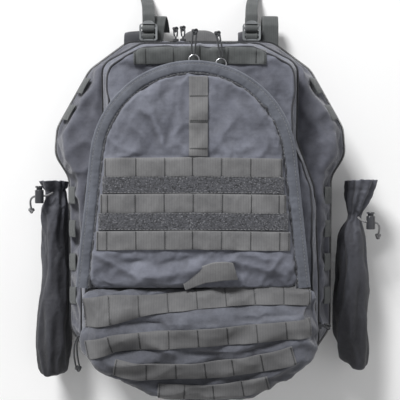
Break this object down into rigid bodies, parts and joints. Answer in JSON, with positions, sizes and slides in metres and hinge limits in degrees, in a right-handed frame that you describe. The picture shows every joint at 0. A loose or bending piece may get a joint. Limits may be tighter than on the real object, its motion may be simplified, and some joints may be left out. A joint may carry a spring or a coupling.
{
  "type": "trauma backpack",
  "caption": "Soft medical backpack with clamshell main and middle compartments, arched and lower front pockets, webbing rows, side pouches, grab handle and shoulder straps.",
  "frame": {"origin": "middle of the spine pad's outer face, on the floor that the pack lies on", "axes": "+Z out of the front of the pack, +Y towards its top, +X to the right seen from the front"},
  "size_m": [0.5326, 0.6444, 0.2382],
  "materials": {
    "pack_fabric": "coated woven nylon, matt",
    "back_mesh": "spacer mesh, matt",
    "webbing": "woven nylon webbing",
    "loop_fastener": "loop pile of hook-and-loop tape",
    "strap_padding": "padded woven nylon",
    "lining": "coated nylon lining",
    "elastic": "woven elastic",
    "stiffener": "polyethylene sheet",
    "zip_coil": "nylon coil on woven tape",
    "slider_metal": "painted zinc casting",
    "ring_metal": "plated wire",
    "spring_steel": "drawn wire",
    "pull_cord": "braided cord",
    "draw_cord": "braided elastic cord",
    "lock_plastic": "moulded acetal",
    "buckle_plastic": "moulded nylon"
  },
  "bodies": {
    "pack_back": {"spine_pad": "back_mesh", "lumbar_pad": "back_mesh", "back_panel": "back_mesh", "frame_sheet": "stiffener", "grab_handle": "webbing", "main_tub": "pack_fabric", "main_zip": "zip_coil", "inner_sleeve": "lining", "lifter_anchors": "webbing", "shoulder_strap_left": "strap_padding", "lifter_web_left": "webbing", "lower_web_left": "webbing", "pouch_left": "pack_fabric", "drawcord_left": "draw_cord", "shoulder_strap_right": "strap_padding", "lifter_web_right": "webbing", "lower_web_right": "webbing", "pouch_right": "pack_fabric", "drawcord_right": "draw_cord"},
    "main_lid": {"main_lid": "pack_fabric", "elastic_loops": "elastic", "side_webbing": "webbing", "mid_tub": "pack_fabric", "mid_zip": "zip_coil"},
    "mid_lid": {"mid_lid": "pack_fabric", "top_webbing": "webbing", "arch_zip": "zip_coil", "lower_zip": "zip_coil"},
    "arch_flap": {"arch_flap": "pack_fabric", "storm_flap": "pack_fabric", "front_webbing": "webbing", "loop_strips": "loop_fastener", "centre_strip": "webbing", "folded_tab": "webbing"},
    "lower_flap": {"lower_flap": "pack_fabric", "lower_webbing": "webbing"},
    "mid_slider": {"mid_slider": "slider_metal", "mid_pull": "pull_cord"},
    "lower_slider": {"lower_slider": "slider_metal", "lower_pull": "pull_cord"},
    "main_slider_left": {"main_slider_left": "slider_metal", "main_pull_left": "pull_cord"},
    "arch_slider_left": {"arch_slider_left": "slider_metal"},
    "pull_ring_left": {"pull_ring_left": "ring_metal", "arch_pull_left": "pull_cord"},
    "cord_lock_left": {"cord_lock_left": "lock_plastic", "lock_spring_left": "spring_steel"},
    "lock_button_left": {"lock_button_left": "lock_plastic"},
    "upper_ladderlock_left": {"upper_ladderlock_left": "buckle_plastic"},
    "lower_ladderlock_left": {"lower_ladderlock_left": "buckle_plastic"},
    "main_slider_right": {"main_slider_right": "slider_metal", "main_pull_right": "pull_cord"},
    "arch_slider_right": {"arch_slider_right": "slider_metal"},
    "pull_ring_right": {"pull_ring_right": "ring_metal", "arch_pull_right": "pull_cord"},
    "cord_lock_right": {"cord_lock_right": "lock_plastic", "lock_spring_right": "spring_steel"},
    "lock_button_right": {"lock_button_right": "lock_plastic"},
    "upper_ladderlock_right": {"upper_ladderlock_right": "buckle_plastic"},
    "lower_ladderlock_right": {"lower_ladderlock_right": "buckle_plastic"}
  },
  "joints": [
    {"name": "main_lid_hinge", "type": "hinge", "parent": "pack_back", "child": "main_lid", "pos_m": [0, -0.2523, 0.0809], "axis": [1, 0, 0], "range_deg": [0, 100]},
    {"name": "mid_lid_hinge", "type": "hinge", "parent": "main_lid", "child": "mid_lid", "pos_m": [0, -0.2405, 0.1529], "axis": [1, 0, 0], "range_deg": [0, 100]},
    {"name": "arch_flap_hinge", "type": "hinge", "parent": "mid_lid", "child": "arch_flap", "pos_m": [0, -0.0912, 0.206], "axis": [1, 0, 0], "range_deg": [0, 85]},
    {"name": "lower_flap_hinge", "type": "hinge", "parent": "mid_lid", "child": "lower_flap", "pos_m": [0, -0.241, 0.1888], "axis": [1, 0, 0], "range_deg": [0, 95]},
    {"name": "main_slider_left_run", "type": "slide", "parent": "pack_back", "child": "main_slider_left", "axis": [1, 0, 0], "range_m": [-0.055, 0]},
    {"name": "main_slider_right_run", "type": "slide", "parent": "pack_back", "child": "main_slider_right", "axis": [1, 0, 0], "range_m": [0, 0.11]},
    {"name": "mid_slider_run", "type": "slide", "parent": "main_lid", "child": "mid_slider", "axis": [0, 1, 0], "range_m": [0, 0.055]},
    {"name": "lower_slider_run", "type": "slide", "parent": "mid_lid", "child": "lower_slider", "axis": [0, 1, 0], "range_m": [0, 0.035]},
    {"name": "arch_slider_left_run", "type": "hinge", "parent": "mid_lid", "child": "arch_slider_left", "pos_m": [-0.009, 0.075, 0.186], "axis": [0, 0, 1], "range_deg": [-3, 74]},
    {"name": "pull_ring_left_swing", "type": "hinge", "parent": "arch_slider_left", "child": "pull_ring_left", "pos_m": [-0.00829, 0.2106, 0.186], "axis": [1, -0.0052, 0], "range_deg": [0, 60]},
    {"name": "cord_lock_left_run", "type": "slide", "parent": "pack_back", "child": "cord_lock_left", "axis": [1, 0, 0], "range_m": [-0.001, 0.001]},
    {"name": "lock_button_left_press", "type": "slide", "parent": "cord_lock_left", "child": "lock_button_left", "axis": [0, -1, 0], "range_m": [0, 0.003], "stiffness_N_per_m": 300, "deforming": ["lock_spring_left"]},
    {"name": "upper_ladderlock_left_tilt", "type": "hinge", "parent": "pack_back", "child": "upper_ladderlock_left", "pos_m": [-0.08, 0.282, 0.0458], "axis": [1, 0, 0], "range_deg": [0, 22], "deforming": ["lifter_web_left"]},
    {"name": "lower_ladderlock_left_tilt", "type": "hinge", "parent": "pack_back", "child": "lower_ladderlock_left", "pos_m": [-0.09, -0.074, 0.0088], "axis": [-1, 0, 0], "range_deg": [0, 12], "deforming": ["lower_web_left"]},
    {"name": "arch_slider_right_run", "type": "hinge", "parent": "mid_lid", "child": "arch_slider_right", "pos_m": [-0.009, 0.075, 0.186], "axis": [0, 0, 1], "range_deg": [-65, 3]},
    {"name": "pull_ring_right_swing", "type": "hinge", "parent": "arch_slider_right", "child": "pull_ring_right", "pos_m": [0.02678, 0.20579, 0.186], "axis": [0.9646, -0.2639, 0], "range_deg": [0, 60]},
    {"name": "cord_lock_right_run", "type": "slide", "parent": "pack_back", "child": "cord_lock_right", "axis": [1, 0, 0], "range_m": [-0.001, 0.001]},
    {"name": "lock_button_right_press", "type": "slide", "parent": "cord_lock_right", "child": "lock_button_right", "axis": [0, -1, 0], "range_m": [0, 0.003], "stiffness_N_per_m": 300, "deforming": ["lock_spring_right"]},
    {"name": "upper_ladderlock_right_tilt", "type": "hinge", "parent": "pack_back", "child": "upper_ladderlock_right", "pos_m": [0.08, 0.282, 0.0458], "axis": [1, 0, 0], "range_deg": [0, 22], "deforming": ["lifter_web_right"]},
    {"name": "lower_ladderlock_right_tilt", "type": "hinge", "parent": "pack_back", "child": "lower_ladderlock_right", "pos_m": [0.09, -0.074, 0.0088], "axis": [-1, 0, 0], "range_deg": [0, 12], "deforming": ["lower_web_right"]}
  ]
}
